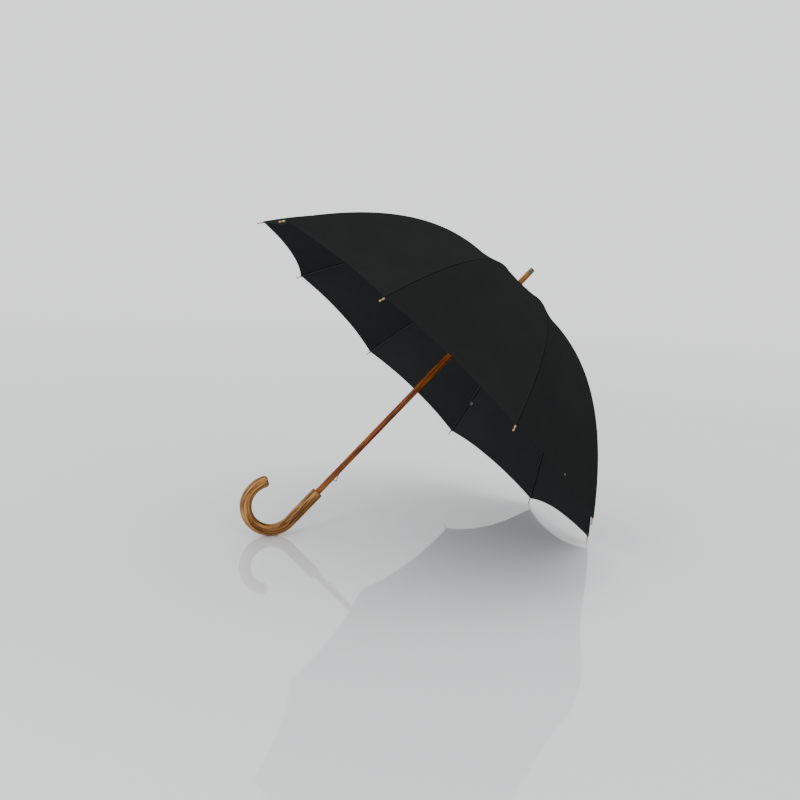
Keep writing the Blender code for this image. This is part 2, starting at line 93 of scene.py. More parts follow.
STRAP_LENGTH = 0.070
STRAP_LIFT = 0.0009
CATCH_SEAT_R = 0.0035
CATCH_REACH = 0.0404
CATCH_NOSE = 0.018
CATCH_OUT = 0.0048

# How the cloth pieces are cut
RIM_R = CORNER_R - 0.0030
ALLOWANCE = 0.009
ALLOWANCE_THICK = 0.0002
INNER_KEEP = 0.42
OUTER_KEEP = 0.27
HEM = 0.007

# The hem's two faces, in thicknesses of cloth above the inner face
HEM_LEVELS = (-0.03, -0.45)

# How the cloth is woven and sewn, in metres; STITCHES is in radians for each metre
THREAD_PITCH = 0.0007
STITCHES = 2300
STITCH_HALF = 0.00028
SEAM_HALF = 0.0019
HEM_STITCH = 0.0012
# Half-width of the dark band beside the ribs: seam taping and painted shadow of the rib
TAPE_AND_SHADOW_HALF = 0.0026
# Half-width of the painted shade along the seam grooves
GROOVE_SHADE_HALF = 0.0013

# How far the cloth stands off its even surface, in metres; PUCKERS is in radians for each metre
WAVE_HIGH = 0.0012
PUCKER_HIGH = 0.00030
PUCKERS = 430
PUCKER_SPREAD = 0.011
CREASE_HIGH = 0.0006
CREASE_HALF = 0.0035
PULL_HIGH = 0.0011
PULL_FOLDS = 11
PULL_SPREAD = 0.070
RIDGE_HIGH = 0.00035

# Steps in which the rib's length is summed
PATH_STEP = 0.001
PATH_STEPS = 520


def rib_turn(k):
    return (4.5 - k) * STEP


def rib_height(r):
    q = (r - PIVOT_R) / (CORNER_R - PIVOT_R)
    fall = PROFILE_2 * q**2 + PROFILE_3 * q**3 + (1 - PROFILE_2 - PROFILE_3) * q**4
    return PIVOT_H * (1 - fall)


def rib_slope(r):
    step = 1e-5
    return atan2(rib_height(r - step) - rib_height(r + step), 2 * step)


def off_rib(r, offset):
    slope = rib_slope(r)
    return r + offset * sin(slope), rib_height(r) + offset * cos(slope)


def umbrella_frame():
    """The umbrella's own frame in the row frame: Z up the shaft, X towards the floor side."""
    pivots = [SPOTS["canopy_fold"]] + [SPOTS[f"rib_fold_{k}"] for k in range(1, RIBS)]
    hub = sum(pivots, Vector()) / RIBS
    up = (pivots[2] - hub).cross(pivots[0] - hub).normalized()
    across = Vector((0, 1, 0))
    turn = Matrix((across.cross(up), across, up)).transposed().to_4x4()
    return Matrix.Translation(hub) @ turn @ Matrix.Translation((0, 0, -PIVOT_H))


SPOTS = {joint["name"]: Vector(joint["pos_m"]) for joint in frame["joints"]}
UMBRELLA = umbrella_frame()
SLOPE_PATH = [0.0]
for i in range(1, PATH_STEPS + 1):
    SLOPE_PATH.append(SLOPE_PATH[-1] + PATH_STEP / cos(rib_slope(i * PATH_STEP)))


def along_rib(r):
    """Length of the rib's curve from the axis out to distance r."""
    i = min(int(r / PATH_STEP), len(SLOPE_PATH) - 2)
    return SLOPE_PATH[i] + (SLOPE_PATH[i + 1] - SLOPE_PATH[i]) * (r / PATH_STEP - i)


def rib_frame(k):
    return UMBRELLA @ Matrix.Rotation(rib_turn(k), 4, "Z")


# ---------------------------------------------------------------- materials


class Look:
    """A Principled material whose nodes are added by short calls."""

    def __init__(self, name, sockets):
        self.material = bpy.data.materials.new(name)
        self.material.use_nodes = True
        self.tree = self.material.node_tree
        self.shader = self.tree.nodes["Principled BSDF"]
        self.wire(self.shader, sockets)

    def wire(self, node, inputs):
        for key, value in inputs.items():
            if isinstance(value, bpy.types.NodeSocket):
                self.tree.links.new(value, node.inputs[key])
            else:
                node.inputs[key].default_value = value

    def add(self, kind, inputs=None, **settings):
        node = self.tree.nodes.new("ShaderNode" + kind)
        for key, value in settings.items():
            setattr(node, key, value)
        self.wire(node, inputs or {})
        return node

    def math(self, operation, a, b=0.0, c=0.0):
        return self.add("Math", {0: a, 1: b, 2: c}, operation=operation).outputs[0]

    def noise(self, vector, scale, detail=4.0, rough=0.5):
        inputs = {"Vector": vector, "Scale": scale, "Detail": detail, "Roughness": rough}
        return self.add("TexNoise", inputs).outputs["Fac"]

    def mix(self, share, a, b):
        return self.add("Mix", {0: share, 6: a, 7: b}, data_type="RGBA").outputs[2]

    def ramp(self, value, stops):
        node = self.add("ValToRGB", {"Fac": value})
        elements = node.color_ramp.elements
        while len(elements) < len(stops):
            elements.new(0.5)
        for element, (place, colour) in zip(elements, stops):
            element.position = place
            element.color = (*colour, 1)
        return node.outputs["Color"]

    def map_range(self, value, low, high, to_low, to_high):
        inputs = {0: value, 1: low, 2: high, 3: to_low, 4: to_high}
        return self.add("MapRange", inputs).outputs[0]

    def stretched(self, vector, scale):
        return self.add("Mapping", {"Vector": vector, "Scale": scale}).outputs[0]

    def umbrella_place(self):
        """Place in the umbrella's own frame, for the CAD pieces."""
        here = self.add("TexCoord").outputs["Object"]
        inputs = {
            "Vector": here,
            "Location": UMBRELLA.translation,
            "Rotation": UMBRELLA.to_euler(),
        }
        return self.add("Mapping", inputs, vector_type="TEXTURE").outputs[0]

    def finish(self, colour, roughness, height, distance, strength):
        inputs = {"Height": height, "Distance": distance, "Strength": strength}
        bump = self.add("Bump", inputs).outputs[0]
        self.wire(self.shader, {"Base Color": colour, "Roughness": roughness, "Normal": bump})
        return self.material


def cloth_look():
    """Black plain weave with stitched seams and hem; the inner face painted lighter as painted light,
    a dark band on the inner face beside each rib that is partly seam taping and partly painted shadow
    of the rib, and painted shade along the seam grooves.

    UV is metres across from the rib and up from the rim.
    """
    look = Look(
        "canopy_cloth",
        {"Sheen Weight": 0.006, "Sheen Roughness": 0.5, "Specular IOR Level": 0.0},
    )
    uv = look.add("UVMap", uv_map="cloth").outputs[0]
    parts = look.add("SeparateXYZ", {0: uv})
    across, up = parts.outputs[0], parts.outputs[1]
    thread = 2 * pi / THREAD_PITCH
    warp = look.math("SINE", look.math("MULTIPLY", across, thread))
    weft = look.math("SINE", look.math("MULTIPLY", up, thread))
    weave = look.math("MULTIPLY", warp, weft)
    slub = look.noise(look.stretched(uv, (900, 90, 1)), 1.0, 2.0)
    broad = look.noise(uv, 14.0, 5.0, 0.55)
    body = look.ramp(
        broad, [(0.25, (0.0120, 0.0126, 0.0128)), (0.75, (0.0146, 0.0147, 0.0143))]
    )
    inside = look.add("Attribute", attribute_name="inside").outputs["Fac"]
    # The inner face is painted about twice as light as the outer: painted light from the floor and the
    # front, on the same black cloth.
    under = look.ramp(
        broad, [(0.25, (0.0215, 0.0226, 0.0234)), (0.75, (0.0240, 0.0249, 0.0256))]
    )
    body = look.mix(inside, body, under)
    lift = look.math("ADD", look.math("MULTIPLY", weave, 0.10), 0.85)
    lift = look.math("ADD", lift, look.math("MULTIPLY", slub, 0.30))
    woven = look.add("VectorMath", {0: body, "Scale": lift}, operation="SCALE").outputs[0]
    beside = look.math("ABSOLUTE", across)

    def dashes(run):
        """Stitches along a seam, as 1 on the thread and 0 between."""
        return look.math("GREATER_THAN", look.math("SINE", look.math("MULTIPLY", run, STITCHES)), -0.3)

    on_seam = look.math("COMPARE", beside, SEAM_HALF, STITCH_HALF)
    on_hem = look.math("COMPARE", up, HEM - HEM_STITCH, STITCH_HALF)
    seam = look.math("MULTIPLY", on_seam, dashes(up))
    hem = look.math("MULTIPLY", on_hem, dashes(across))
    stitch = look.math("MAXIMUM", seam, hem)
    # Dark band beside each rib on the inner face: partly the seam taping, partly a painted shadow of
    # the rib on the cloth.
    tape_and_shadow = look.math("MULTIPLY", inside, look.math("LESS_THAN", beside, TAPE_AND_SHADOW_HALF))
    woven = look.mix(tape_and_shadow, woven, (0.0035, 0.0035, 0.0037, 1))
    # Painted shade in the seam grooves along each rib, on both faces.
    groove_shade = look.math("MULTIPLY", look.math("LESS_THAN", beside, GROOVE_SHADE_HALF), 0.65)
    woven = look.mix(groove_shade, woven, (0.0020, 0.0020, 0.0021, 1))
    colour = look.mix(look.math("MULTIPLY", stitch, 0.6), woven, (0.030, 0.030, 0.031, 1))
    crumple = look.noise(look.stretched(uv, (1, 0.6, 1)), 55.0, 3.0, 0.6)
    height = look.math("MULTIPLY", weave, 0.05)
    height = look.math("ADD", height, look.math("MULTIPLY", crumple, 0.8))
    height = look.math("ADD", height, look.math("MULTIPLY", stitch, 0.35))
    rough = look.map_range(broad, 0.3, 0.7, 0.66, 0.80)
    return look.finish(colour, rough, height, 0.0006, 0.6)


def wood_look(name, place, colours, streak_scale, roughness, above=None):
    """Varnished wood with its grain along the third coordinate; other colours above the crown."""
    look = Look(
        name,
        {"Coat Weight": 0.26, "Coat Roughness": 0.04, "Coat IOR": 1.5, "Specular IOR Level": 0.03},
    )
    where = place(look)
    drift = look.noise(look.stretched(where, (40, 40, 6)), 1.0, 2.0)
    push = look.add("CombineXYZ", {0: look.math("MULTIPLY", drift, 0.004)}).outputs[0]
    bent = look.add("VectorMath", {0: where, 1: push}, operation="ADD").outputs[0]
    streaks = look.noise(look.stretched(bent, streak_scale), 1.0, 6.0, 0.62)
    pores = look.noise(look.stretched(where, (2600, 2600, 90)), 1.0, 2.0)
    blotch = look.noise(look.stretched(where, (60, 60, 22)), 1.0, 3.0)
    tone = look.math("MULTIPLY", blotch, 0.25)
    tone = look.math("ADD", look.math("MULTIPLY", streaks, 0.75), tone)
    stops = (0.36, 0.46, 0.54, 0.64)
    base = look.ramp(tone, list(zip(stops, colours)))
    if above:
        height = look.add("SeparateXYZ", {0: where}).outputs[2]
        over = look.map_range(height, PIVOT_H, PIVOT_H + 0.006, 0.0, 1.0)
        base = look.mix(over, base, look.ramp(tone, list(zip(stops, above))))
    dark_pore = look.map_range(pores, 0.62, 0.72, 0.0, 0.55)
    colour = look.mix(dark_pore, base, (*colours[0], 1))
    rough = look.map_range(streaks, 0.3, 0.7, roughness + 0.08, roughness)
    relief = look.math("MULTIPLY", pores, 0.3)
    relief = look.math("ADD", look.math("MULTIPLY", streaks, 0.7), relief)
    return look.finish(colour, rough, relief, 0.0002, 0.35)


def metal_look(name, colour, worn, roughness, metallic):
    """Metal or lacquer with fine scratches and patches of a second, worn tone."""
    look = Look(name, {"Metallic": metallic})
    here = look.add("TexCoord").outputs["Object"]
    scratches = look.noise(look.stretched(here, (900, 900, 180)), 1.0, 3.0)
    patches = look.noise(here, 160.0, 4.0)
    share = look.map_range(patches, 0.45, 0.7, 0.0, 1.0)
    tone = look.mix(share, (*colour, 1), (*worn, 1))
    rough = look.map_range(scratches, 0.3, 0.7, roughness - 0.06, roughness + 0.12)
    return look.finish(tone, rough, scratches, 0.00008, 0.4)


def plastic_look():
    look = Look("moulded_plastic", {"Specular IOR Level": 0.5})
    here = look.add("TexCoord").outputs["Object"]
    grain = look.noise(here, 1800.0, 2.0)
    broad = look.noise(here, 120.0, 3.0)
    colour = look.ramp(broad, [(0.3, (0.012, 0.012, 0.013)), (0.7, (0.022, 0.022, 0.023))])
    rough = look.map_range(grain, 0.3, 0.7, 0.34, 0.48)
    return look.finish(colour, rough, grain, 0.0001, 0.4)


def label_look():
    look = Look("label_ribbon", {"Sheen Weight": 0.2})
    here = look.add("TexCoord").outputs["Object"]
    threads = look.noise(look.stretched(here, (2500, 2500, 400)), 1.0, 2.0)
    colour = look.ramp(threads, [(0.3, (0.060, 0.061, 0.061)), (0.7, (0.105, 0.106, 0.105))])
    rough = look.map_range(threads, 0.3, 0.7, 0.7, 0.85)
    return look.finish(colour, rough, threads, 0.0001, 0.5)


def from_grain(look):
    """Place along and across the piece's own grain."""
    return look.add("Attribute", attribute_name="grain").outputs["Vector"]


# Wood colours from the pores to the palest streaks
CHESTNUT = (
    (0.026, 0.008, 0.001),
    (0.12, 0.042, 0.006),
    (0.29, 0.133, 0.034),
    (0.52, 0.30, 0.095),
)
REDWOOD = (
    (0.045, 0.009, 0.002),
    (0.125, 0.028, 0.004),
    (0.250, 0.068, 0.009),
    (0.43, 0.150, 0.024),
)
HONEY = (
    (0.060, 0.020, 0.003),
    (0.17, 0.060, 0.008),
    (0.30, 0.125, 0.018),
    (0.48, 0.24, 0.045),
)

CLOTH_LOOK = cloth_look()
HANDLE_LOOK = wood_look("crook_wood", from_grain, CHESTNUT, (330, 330, 16), 0.30)
SHAFT_LOOK = wood_look(
    "shaft_wood_grain", Look.umbrella_place, REDWOOD, (420, 420, 10), 0.24, HONEY
)
RIB_LOOK = metal_look(
    "black_rib_lacquer", (0.0025, 0.0025, 0.0027), (0.006, 0.006, 0.0065), 0.46, 0.0
)
STEEL_LOOK = metal_look("bright_spring_steel", (0.48, 0.48, 0.49), (0.62, 0.62, 0.62), 0.28, 1.0)
BRASS_LOOK = metal_look("tip_brass", (0.40, 0.285, 0.14), (0.25, 0.18, 0.09), 0.26, 1.0)
CATCH_LOOK = metal_look(
    "blued_spring_steel", (0.055, 0.052, 0.050), (0.14, 0.13, 0.12), 0.30, 1.0
)
CAP_LOOK = metal_look("cap_metal", (0.085, 0.068, 0.045), (0.17, 0.14, 0.095), 0.22, 1.0)
PLASTIC_LOOK = plastic_look()
LABEL_LOOK = label_look()

# ---------------------------------------------------------------- pieces


def make_piece(name, points, faces, material, body, matrix=UMBRELLA, flat=35):
    """A smooth mesh from points of the given frame, riding on a body, facing outward."""
    mesh = bpy.data.meshes.new(name)
    mesh.from_pydata([tuple(matrix @ Vector(p)) for p in points], [], faces)
    work = bmesh.new()
    work.from_mesh(mesh)
    bmesh.ops.recalc_face_normals(work, faces=work.faces)
    work.to_mesh(mesh)
    work.free()
    mesh.materials.append(material)
    mesh.shade_smooth()
    mesh.set_sharp_from_angle(angle=radians(flat))
    thing = bpy.data.objects.new(name, mesh)
    bpy.context.scene.collection.objects.link(thing)
    if body:
        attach(thing, body)
    return thing


def ring_faces(rings, sides, closed=False):
    faces = []
    for i in range(rings if closed else rings - 1):
        here, there = i * sides, ((i + 1) % rings) * sides
        for j in range(sides):
            k = (j + 1) % sides
            faces.append((here + j, here + k, there + k, there + j))
    return faces


def sweep(line, radii, sides):
    """Rings round (x, height) points in the XZ plane, with end caps; also each point's grain."""
    points, grain = [], []
    run = 0.0
    for i, (x, z) in enumerate(line):
        before, after = line[max(i - 1, 0)], line[min(i + 1, len(line) - 1)]
        ahead = Vector((after[0] - before[0], 0, after[1] - before[1])).normalized()
        side = Vector((0, 1, 0)).cross(ahead)
        if i:
            run += hypot(x - before[0], z - before[1])
        for j in range(sides):
            a = 2 * pi * j / sides
            out = side * cos(a) + Vector((0, 1, 0)) * sin(a)
            points.append(Vector((x, 0, z)) + out * radii[i])
            grain.append((radii[i] * cos(a), radii[i] * sin(a), run))
    faces = ring_faces(len(line), sides)
    last = (len(line) - 1) * sides
    faces.append(tuple(reversed(range(sides))))
    faces.append(tuple(last + j for j in range(sides)))
    return points, faces, grain


def turned(profile, sides):
    """Rings about Z from (radius, height) points, with end caps."""
    points = []
    for radius, height in profile:
        points += [
            (radius * cos(2 * pi * j / sides), radius * sin(2 * pi * j / sides), height)
            for j in range(sides)
        ]
    faces = ring_faces(len(profile), sides)
    last = (len(profile) - 1) * sides
    faces.append(tuple(reversed(range(sides))))
    faces.append(tuple(last + j for j in range(sides)))
    return points, faces


def torus(radius, wire, centre_h, steps=48, sides=8):
    points = []
    for i in range(steps):
        a = 2 * pi * i / steps
        for j in range(sides):
            b = 2 * pi * j / sides
            r = radius + wire * cos(b)
            points.append((r * cos(a), r * sin(a), centre_h + wire * sin(b)))
    return points, ring_faces(steps, sides, closed=True)


def set_grain(thing, grain):
    attribute = thing.data.attributes.new("grain", "FLOAT_VECTOR", "POINT")
    for i, value in enumerate(grain):
        attribute.data[i].vector = value


# ---------------------------------------------------------------- canopy


def fabric_offset(r):
    lift = max(0.0, 1 - max(0.0, r - CROWN_R) / 0.030)
    return RIB_RADIUS + GAP + CROWN_LIFT * lift * lift


def panel_point(r, t):
    """The cloth's inner face in a rib's frame; t is 0 on the rib and 1 midway to its neighbour."""
    across = abs(t) - 1
    distance, height = off_rib(r, fabric_offset(r))
    q = r / CORNER_R
    bow = 1 - across * across
    scallop = (CORNER_R * cos(STEP / 2) - RIM_MIDDLE) * q**3
    hollow = GORE_SAG * sin(pi * q)
    middle = distance * cos(STEP / 2) - bow * (scallop + hollow * sin(rib_slope(r)))
    height += bow * (RIM_RISE * q**3 - hollow * cos(rib_slope(r)))
    side = across * distance * sin(STEP / 2)
    half = STEP / 2
    x = middle * cos(half) - side * sin(half)
    y = middle * sin(half) + side * cos(half)
    return Vector((x, y if t >= 0 else -y, height))


def panel_normal(r, t):
    if abs(t) < 1e-6:
        return Vector((sin(rib_slope(r)), 0, cos(rib_slope(r))))
    step = 1e-4
    outward = panel_point(r + step, t) - panel_point(r - step, t)
    sideways = panel_point(r, t + step) - panel_point(r, t - step)
    return outward.cross(sideways).normalized()


def panel_half(r):
    return max(r, 0.004) * sin(STEP / 2)


def ripple(gore, r, across):
    """How far the cloth stands off its even surface.

    Soft waves, puckers at the seams, a pressed crease and pulled corners.
    """
    q = r / CORNER_R
    bow = 1 - across * across
    spot = Vector((r * 9, across * r * 5, gore * 3.7))
    wave = WAVE_HIGH * noise.noise(spot) * bow * min(1, q * 3)
    edge = (1 - abs(across)) * panel_half(r)
    pucker = PUCKER_HIGH * sin(along_rib(min(r, RIM_R)) * PUCKERS + 1.7 * gore)
    pucker *= exp(-edge / PUCKER_SPREAD)
    wave += pucker * min(1, edge / 0.004) * min(1, q * 3)
    beside = abs(across) * panel_half(r)
    crease = CREASE_HIGH * exp(-((beside / CREASE_HALF) ** 2)) * max(0.0, 1 - q * 1.6)
    pull = 0.0
    for side in (-1, 1):
        down = along_rib(RIM_R) - along_rib(min(r, RIM_R))
        over = (1 - side * across) * panel_half(r)
        reach = hypot(down, over)
        angle = atan2(over, down + 1e-6)
        fold = sin(angle * PULL_FOLDS + 2.3 * gore + side)
        pull += PULL_HIGH * fold * exp(-reach / PULL_SPREAD) * min(1, over / 0.012)
    return wave + crease + pull * bow


def sewn_ridge(r, t):
    """The raised seam along each rib."""
    beside = abs(t) * panel_half(r)
    return RIDGE_HIGH * exp(-((beside / SEAM_HALF) ** 4))


def cloth_spot(k, r, t, level):
    """A point of piece k's cloth; level 0 is the inner face and 1 the outer face."""
    gore = k if t >= 0 else (k + 1) % RIBS
    across = abs(t) - 1 if t >= 0 else 1 - abs(t)
    normal = panel_normal(r, t)
    rise = ripple(gore, r, across) + CLOTH * level
    if level > 0.9:
        rise += sewn_ridge(r, t)
    return panel_point(r, t) + normal * rise


def cut_r(t):
    """Distance at which the cut between the two bands crosses this line of the panel."""
    low, high = FLEX_R * 0.9, FLEX_R * 1.4
    for _ in range(40):
        middle = (low + high) / 2
        if panel_point(middle, t).x < FLEX_R:
            low = middle
        else:
            high = middle
    return low


SEAM_STEPS = (0.0008, 0.0016, 0.0024, 0.0036, 0.0060)
FAR_COLUMNS = 14


def panel_columns(r):
    """Shares t from the rib out to the allowance, the mid-line twice, each with its thinness."""
    half = panel_half(r)
    near = [min(d / half, 0.07 * (i + 1)) for i, d in enumerate(SEAM_STEPS)]
    rest = [near[-1] + (1 - near[-1]) * (i + 1) / FAR_COLUMNS for i in range(FAR_COLUMNS)]
    past = 1 + min(ALLOWANCE / half, 0.35)
    side = [(t, False) for t in [*near, *rest]] + [(1.0, True), (past, True)]
    mirrored = [(-t, thin) for t, thin in reversed(side)]
    return [*mirrored, (0.0, False), *side]


def shell(grid):
    """A closed shell from rows of (outer point, inner point) pairs."""
    rows, columns = len(grid), len(grid[0])
    points = [p for row in grid for pair in row for p in pair]

    def outer(i, j):
        return 2 * (i * columns + j)

    def inner(i, j):
        return outer(i, j) + 1

    faces = []
    for i in range(rows - 1):
        for j in range(columns - 1):
            faces.append((outer(i, j), outer(i + 1, j), outer(i + 1, j + 1), outer(i, j + 1)))
            faces.append((inner(i, j), inner(i, j + 1), inner(i + 1, j + 1), inner(i + 1, j)))
    for i in range(rows - 1):
        faces.append((outer(i, 0), inner(i, 0), inner(i + 1, 0), outer(i + 1, 0)))
        j = columns - 1
        faces.append((outer(i, j), outer(i + 1, j), inner(i + 1, j), inner(i, j)))
    for j in range(columns - 1):
        faces.append((outer(0, j), outer(0, j + 1), inner(0, j + 1), inner(0, j)))
        i = rows - 1
        faces.append((outer(i, j), inner(i, j), inner(i, j + 1), outer(i, j + 1)))
    return points, faces


def band_grid(k, rows):
    """Pairs of cloth points and their UVs; a row is (function of t giving r, thin)."""
    grid, places = [], []
    thin_low = 0.5 - ALLOWANCE_THICK / CLOTH / 2
    thin_high = 1 - thin_low
    for reach, thin_row in rows:
        line = []
        for t, thin in panel_columns(reach(0.0)):
            r = reach(max(-1.0, min(1.0, t)))
            low, high = (thin_low, thin_high) if thin or thin_row else (0.0, 1.0)
            pair = (cloth_spot(k, r, t, high), cloth_spot(k, r, t, low))
            line.append(pair)
            place = (pair[0].y, along_rib(RIM_R) - along_rib(min(r, RIM_R)))
            places += [place, place]
        grid.append(line)
    return grid, places


def set_inside(thing):
    """Marks the inner face of a shell, whose points come as outer and inner by turns."""
    attribute = thing.data.attributes.new("inside", "FLOAT", "POINT")
    for i, value in enumerate(attribute.data):
        value.value = i % 2


def set_places(thing, places):
    layer = thing.data.uv_layers.new(name="cloth")
    for loop in thing.data.loops:
        layer.data[loop.index].uv = places[loop.vertex_index]


def between(start, share):
    """Row at a share of the way from a fixed radius out to the cut."""
    return lambda t: start + (cut_r(t) - start) * share


def beyond(end, share):
    """Row at a share of the way from the cut out to a fixed radius."""
    return lambda t: cut_r(t) + (end - cut_r(t)) * share


def past_cut(extra):
    return lambda t: cut_r(t) + extra


def inside_rim(depth):
    return lambda t: RIM_R - depth


CROWN_SHARES = (0, 0.012, 0.025, 0.045, 0.07)
INNER_STEPS = 22
OUTER_STEPS = 24
INNER_SHARES = [*CROWN_SHARES]
INNER_SHARES += [0.07 + 0.93 * (i + 1) / INNER_STEPS for i in range(INNER_STEPS)]
INNER_ROWS = [(between(CLOTH_START_R, share), False) for share in INNER_SHARES]
INNER_ROWS += [(past_cut(0.0), True), (past_cut(ALLOWANCE), True)]
OUTER_ROWS = [(beyond(RIM_R, i / OUTER_STEPS), False) for i in range(OUTER_STEPS + 1)]
HEM_ROWS = [inside_rim(depth) for depth in (HEM, HEM / 2, 0.0002)]


def make_cloth(k, name, grid, places, body):
    """A shell of canopy cloth with its UVs, riding on a body."""
    points, faces = shell(grid)
    thing = make_piece(name, points, faces, CLOTH_LOOK, body, rib_frame(k), 50)
    set_places(thing, places)
    set_inside(thing)
    return thing


def make_band(k, name, rows, body):
    grid, places = band_grid(k, rows)
    return make_cloth(k, name, grid, places, body)


def make_hem(k):
    """The rim turned under: a second layer on the inner face."""
    grid, places = [], []
    for reach in HEM_ROWS:
        line = []
        columns = [t for t, thin in panel_columns(reach(0.0)) if not thin]
        for t in columns:
            r = reach(t)
            pair = tuple(cloth_spot(k, r, t, level) for level in HEM_LEVELS)
            line.append(pair)
            place = (pair[0].y, along_rib(RIM_R) - along_rib(r))
            places += [place, place]
        grid.append(line)
    return make_cloth(k, f"canopy_hem_{k}", grid, places, f"rib_outer_{k}")


def flat_size(rows):
    """Width, length and area of a band laid flat, from its inner face without allowances."""
    area, width, length, steps = 0.0, 0.0, 0.0, 12
    lines = [reach for reach, thin in rows if not thin]
    shares = [i / steps for i in range(-steps, steps + 1)]
    for first, second in zip(lines, lines[1:]):
        for a, b in zip(shares, shares[1:]):
            p, q = panel_point(first(a), a), panel_point(first(b), b)
            s, u = panel_point(second(a), a), panel_point(second(b), b)
            area += (u - p).cross(s - q).length / 2
            width = max(width, 2 * panel_point(second(1.0), 1.0).y)
    for t in (0.0, 1.0):
        line = [panel_point(reach(t), t) for reach in lines]
        length = max(length, sum((b - a).length for a, b in zip(line, line[1:])))
    return width, length, area


def make_canopy():
    inner_flat = flat_size(INNER_ROWS)
    outer_flat = flat_size(OUTER_ROWS)
    for k in range(RIBS):
        inner_body, outer_body = f"rib_inner_{k}", f"rib_outer_{k}"
        inner = make_band(k, f"canopy_inner_{k}", INNER_ROWS, inner_body)
        outer = make_band(k, f"canopy_outer_{k}", OUTER_ROWS, outer_body)
        hem = make_hem(k)
        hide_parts(f"gore_{k}")
        for thing, keep in ((inner, INNER_KEEP), (outer, OUTER_KEEP), (hem, OUTER_KEEP)):
            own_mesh(thing)


# ---------------------------------------------------------------- hard parts


def make_handle():
    """Straight grip, crook and rounded end, with slightly uneven wood."""
    edge, dome, straight, turns, dome_steps, sides = 0.0018, 0.0080, 14, 72, 12, 40
    line = [(0.0, HANDLE_TOP_H + d) for d in (0.0, -0.0007, -edge)]
    radii = [HANDLE_R * s for s in (0.93, 0.985, 1.0)]
    for i in range(1, straight + 1):
        share = i / straight
        line.append((0.0, HANDLE_TOP_H - edge + (HANDLE_BEND_H - HANDLE_TOP_H + edge) * share))
        radii.append(HANDLE_R)
    for i in range(1, turns + 1):
        a = CROOK_TURN * i / turns
        line.append((-CROOK_R + CROOK_R * cos(a), HANDLE_BEND_H - CROOK_R * sin(a)))
        radii.append(HANDLE_R)
    end = line[-1]
    lead = (-sin(CROOK_TURN), -cos(CROOK_TURN))
    for i in range(1, dome_steps):
        a = pi / 2 * i / dome_steps
        distance, share = dome * sin(a), 0.52 + 0.48 * cos(a)
        line.append((end[0] + lead[0] * distance, end[1] + lead[1] * distance))
        radii.append(HANDLE_R * share)
    points, faces, grain = sweep(line, radii, sides)
    centres = [Vector((x, 0, z)) for x, z in line for _ in range(sides)]
    shaped = []
    for point, centre, where in zip(points, centres, grain):
        wobble = 1 + 0.006 * noise.noise(Vector(where) * 60) if where[2] > 0.003 else 1
        shaped.append(centre + (point - centre) * wobble)
    thing = make_piece(
        "crook_wood", shaped, faces, HANDLE_LOOK, "shaft", flat=40
    )
    set_grain(thing, grain)
    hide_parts("crook_handle")


def make_tips():
    """Fine turned brass caps with a collar, a narrow waist and a round end."""
    base, end = -TIP_SEAT, TIP_LENGTH - TIP_SEAT
    r = TIP_RADIUS
    dome = r * 0.8
    profile = [(0.0006, base), (r * 0.74, base), (r * 0.80, base + 0.0005)]
    profile += [(r * 0.80, base + 0.0030), (r * 0.72, base + 0.0034), (r * 0.56, base + 0.0040)]
    profile += [(r * 0.52, base + 0.0060), (r * 0.52, end - 0.0056), (r * 0.62, end - 0.0044)]
    for i in range(9):
        a = pi / 2 * i / 8
        profile.append((max(dome * cos(a), 0.00005), end - dome * (1 - sin(a))))
    points, faces = turned(profile, 24)
    for k in range(RIBS):
        x, z = off_rib(CORNER_R, 0)
        lean = Matrix.Rotation(pi / 2 + rib_slope(CORNER_R), 4, "Y")
        matrix = rib_frame(k) @ Matrix.Translation((x, 0, z)) @ lean
        body = f"rib_outer_{k}"
        tip = make_piece(f"brass_tip_{k}", points, faces, BRASS_LOOK, body, matrix, 30)
        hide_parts(f"rib_tip_{k}")


def make_rosette():
    """Cloth disc gathered round the ferrule, with a wavy edge."""
    base = PIVOT_H + fabric_offset(0) + CLOTH + GAP
    inner, outer = FERRULE_BASE_R + GAP, 0.0150
    sides, edge_waves, folds = 72, 18, 9
    rings = [(inner, 0.0024), (inner + 0.0012, 0.0026)]
    rings += [(0.0105, 0.0019), (0.0130, 0.0013), (outer, 0.0006)]
    grid = []
    for radius, height in rings:
        line = []
        for j in range(sides + 1):
            a = 2 * pi * j / sides
            spread = (radius - inner) / (outer - inner)
            out = radius + 0.0005 * spread * cos(edge_waves * a)
            up = base + height + 0.00022 * cos(folds * a + 0.7) * spread
            spot = Vector((out * cos(a), out * sin(a), up))
            line.append((spot, spot - Vector((0, 0, CLOTH))))
        grid.append(line)
    points, faces = shell(grid)
    # These places also carry the seam marks: stitches and the painted seam shade fall in a narrow
    # strip across the disc, where x is near zero.
    places = [(p.x, p.y + 0.05) for p in points]
    thing = make_piece(
        "rosette_cloth", points, faces, CLOTH_LOOK, "shaft", flat=50
    )
    set_places(thing, places)
    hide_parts("rosette")


def make_wires():
    """Wire rings that string the ribs on the crown and the stretchers on the runner."""
    runner_h = PIVOT_H - 2 * link_rise()
    for name, height, body in (
        ("crown_wire", PIVOT_H, "shaft"),
        ("runner_wire", runner_h, "runner"),
    ):
        points, faces = torus(PIVOT_R, 0.0005, height)
        make_piece(name, points, faces, STEEL_LOOK, body)


def link_rise():
    return PIVOT_H - off_rib(JOINT_R, -LUG_DROP)[1]


